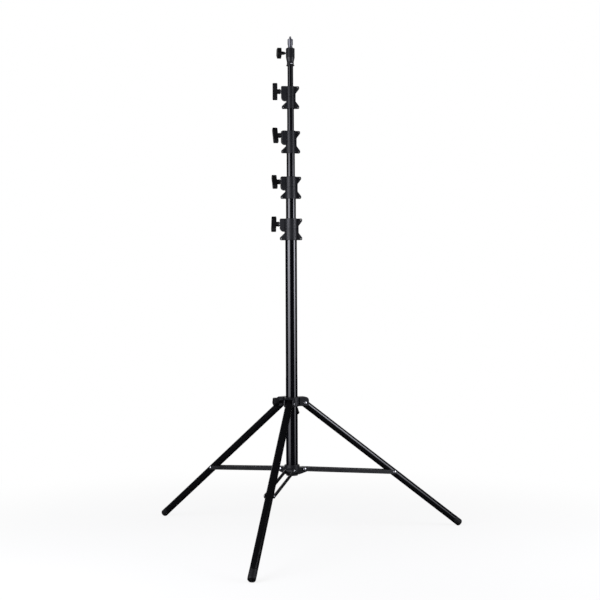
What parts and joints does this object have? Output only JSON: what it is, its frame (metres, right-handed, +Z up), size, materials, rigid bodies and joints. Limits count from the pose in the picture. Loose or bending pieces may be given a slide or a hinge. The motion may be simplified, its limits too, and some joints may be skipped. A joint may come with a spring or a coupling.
{
  "type": "light stand",
  "caption": "Tall folding tripod light stand with telescoping risers in clamp collars, flat braces and a bright spigot in a socket on top.",
  "frame": {"origin": "middle of the footprint on the floor; the column's axis stands 0.1365 m from it along +Y", "axes": "+Z up along the column, -Y the way the front leg points, +X to the right when the front leg points at the viewer"},
  "size_m": [0.9714, 0.8442, 1.4868],
  "materials": {
    "gloss_black_tube": "gloss black paint on aluminium tube",
    "black_leg": "satin black paint on aluminium tube",
    "charcoal_casting": "satin charcoal paint on die-cast aluminium",
    "black_brace": "satin charcoal paint on flat bar",
    "knob_plastic": "fine-grained matte black moulding",
    "black_nylon": "matte black moulding",
    "grey_nylon": "matte grey moulding",
    "foot_rubber": "matte black rubber",
    "steel_fastener": "plain bright steel",
    "bright_spigot": "bright plated steel"
  },
  "bodies": {
    "base": {"base_tube": "gloss_black_tube", "base_plug": "black_nylon", "base_collar": "charcoal_casting", "base_brake_shoe": "grey_nylon", "lower_collar": "charcoal_casting", "brace_front_pivot_rivet": "steel_fastener", "brace_right_pivot_rivet": "steel_fastener", "brace_left_pivot_rivet": "steel_fastener"},
    "base_clamp": {"base_clamp_screw": "steel_fastener", "base_t_knob": "knob_plastic"},
    "riser_1": {"riser_1_tube": "gloss_black_tube", "riser_1_guide_plug": "grey_nylon", "riser_1_collar": "charcoal_casting", "riser_1_brake_shoe": "grey_nylon"},
    "riser_1_clamp": {"riser_1_clamp_screw": "steel_fastener", "riser_1_t_knob": "knob_plastic"},
    "riser_2": {"riser_2_tube": "gloss_black_tube", "riser_2_guide_plug": "grey_nylon", "riser_2_collar": "charcoal_casting", "riser_2_brake_shoe": "grey_nylon"},
    "riser_2_clamp": {"riser_2_clamp_screw": "steel_fastener", "riser_2_t_knob": "knob_plastic"},
    "riser_3": {"riser_3_tube": "gloss_black_tube", "riser_3_guide_plug": "grey_nylon", "riser_3_collar": "charcoal_casting", "riser_3_brake_shoe": "grey_nylon"},
    "riser_3_clamp": {"riser_3_clamp_screw": "steel_fastener", "riser_3_t_knob": "knob_plastic"},
    "riser_4": {"riser_4_tube": "gloss_black_tube", "riser_4_guide_plug": "grey_nylon", "spigot_socket": "charcoal_casting", "socket_cross_pin": "steel_fastener"},
    "socket_clamp": {"socket_screw": "steel_fastener", "socket_knob": "knob_plastic"},
    "spigot": {"top_spigot": "bright_spigot"},
    "spider": {"leg_spider": "charcoal_casting", "leg_front_pivot_rivet": "steel_fastener", "leg_right_pivot_rivet": "steel_fastener", "leg_left_pivot_rivet": "steel_fastener"},
    "spider_clamp": {"spider_lock_screw": "steel_fastener", "spider_lock_knob": "knob_plastic"},
    "leg_front": {"leg_front_tube": "black_leg", "leg_front_foot_tip": "foot_rubber"},
    "brace_front": {"brace_front_near_strip": "black_brace", "brace_front_near_rivet_cap": "steel_fastener", "brace_front_far_strip": "black_brace", "brace_front_far_rivet_cap": "steel_fastener"},
    "leg_right": {"leg_right_tube": "black_leg", "leg_right_foot_tip": "foot_rubber"},
    "brace_right": {"brace_right_near_strip": "black_brace", "brace_right_near_rivet_cap": "steel_fastener", "brace_right_far_strip": "black_brace", "brace_right_far_rivet_cap": "steel_fastener"},
    "leg_left": {"leg_left_tube": "black_leg", "leg_left_foot_tip": "foot_rubber"},
    "brace_left": {"brace_left_near_strip": "black_brace", "brace_left_near_rivet_cap": "steel_fastener", "brace_left_far_strip": "black_brace", "brace_left_far_rivet_cap": "steel_fastener"}
  },
  "joints": [
    {"name": "spider_slide", "type": "slide", "parent": "base", "child": "spider", "axis": [0, 0, 1], "range_m": [0, 0.45982]},
    {"name": "leg_front_fold", "type": "hinge", "parent": "spider", "child": "leg_front", "pos_m": [0, 0.09846, 0.39985], "axis": [1, 0, 0], "range_deg": [0, 50.7]},
    {"name": "brace_front_fold", "type": "hinge", "parent": "base", "child": "brace_front", "pos_m": [0, 0.10146, 0.20365], "axis": [1, 0, 0], "range_deg": [-91.75, 0]},
    {"name": "leg_right_fold", "type": "hinge", "parent": "spider", "child": "leg_right", "pos_m": [0.03291, 0.15546, 0.39985], "axis": [-0.5, 0.866, 0], "range_deg": [0, 50.7]},
    {"name": "brace_right_fold", "type": "hinge", "parent": "base", "child": "brace_right", "pos_m": [0.03031, 0.15396, 0.20365], "axis": [-0.5, 0.866, 0], "range_deg": [-91.75, 0]},
    {"name": "leg_left_fold", "type": "hinge", "parent": "spider", "child": "leg_left", "pos_m": [-0.03291, 0.15546, 0.39985], "axis": [-0.5, -0.866, 0], "range_deg": [0, 50.7]},
    {"name": "brace_left_fold", "type": "hinge", "parent": "base", "child": "brace_left", "pos_m": [-0.03031, 0.15396, 0.20365], "axis": [-0.5, -0.866, 0], "range_deg": [-91.75, 0]},
    {"name": "riser_1_slide", "type": "slide", "parent": "base", "child": "riser_1", "axis": [0, 0, 1], "range_m": [-0.058, 0.528]},
    {"name": "riser_2_slide", "type": "slide", "parent": "riser_1", "child": "riser_2", "axis": [0, 0, 1], "range_m": [-0.0687, 0.503]},
    {"name": "riser_3_slide", "type": "slide", "parent": "riser_2", "child": "riser_3", "axis": [0, 0, 1], "range_m": [-0.0646, 0.498]},
    {"name": "riser_4_slide", "type": "slide", "parent": "riser_3", "child": "riser_4", "axis": [0, 0, 1], "range_m": [-0.0602, 0.49]},
    {"name": "base_knob_turn", "type": "hinge", "parent": "base", "child": "base_clamp", "pos_m": [0, 0.13646, 0.93075], "axis": [-0.9903, -0.1392, 0], "range_deg": [0, 540]},
    {"name": "riser_1_knob_turn", "type": "hinge", "parent": "riser_1", "child": "riser_1_clamp", "pos_m": [0, 0.13646, 1.05555], "axis": [-0.9511, -0.309, 0], "range_deg": [0, 540]},
    {"name": "riser_2_knob_turn", "type": "hinge", "parent": "riser_2", "child": "riser_2_clamp", "pos_m": [0, 0.13646, 1.19285], "axis": [-0.9272, -0.3746, 0], "range_deg": [0, 540]},
    {"name": "riser_3_knob_turn", "type": "hinge", "parent": "riser_3", "child": "riser_3_clamp", "pos_m": [0, 0.13646, 1.32375], "axis": [-0.9816, -0.1908, 0], "range_deg": [0, 540]},
    {"name": "socket_knob_turn", "type": "hinge", "parent": "riser_4", "child": "socket_clamp", "pos_m": [0, 0.13646, 1.43695], "axis": [-0.9397, -0.342, 0], "range_deg": [0, 540]},
    {"name": "spider_knob_turn", "type": "hinge", "parent": "spider", "child": "spider_clamp", "pos_m": [0, 0.13646, 0.37015], "axis": [0, 1, 0], "range_deg": [0, 540]},
    {"name": "spigot_lift", "type": "slide", "parent": "riser_4", "child": "spigot", "axis": [0, 0, 1], "range_m": [0, 0.037]}
  ],
  "couplings": [
    {"joint": "leg_front_fold", "follows": "spider_slide", "rad_per_m": 1.9225},
    {"joint": "brace_front_fold", "follows": "spider_slide", "rad_per_m": -3.4808},
    {"joint": "leg_right_fold", "follows": "spider_slide", "rad_per_m": 1.9225},
    {"joint": "brace_right_fold", "follows": "spider_slide", "rad_per_m": -3.4808},
    {"joint": "leg_left_fold", "follows": "spider_slide", "rad_per_m": 1.9225},
    {"joint": "brace_left_fold", "follows": "spider_slide", "rad_per_m": -3.4808}
  ]
}
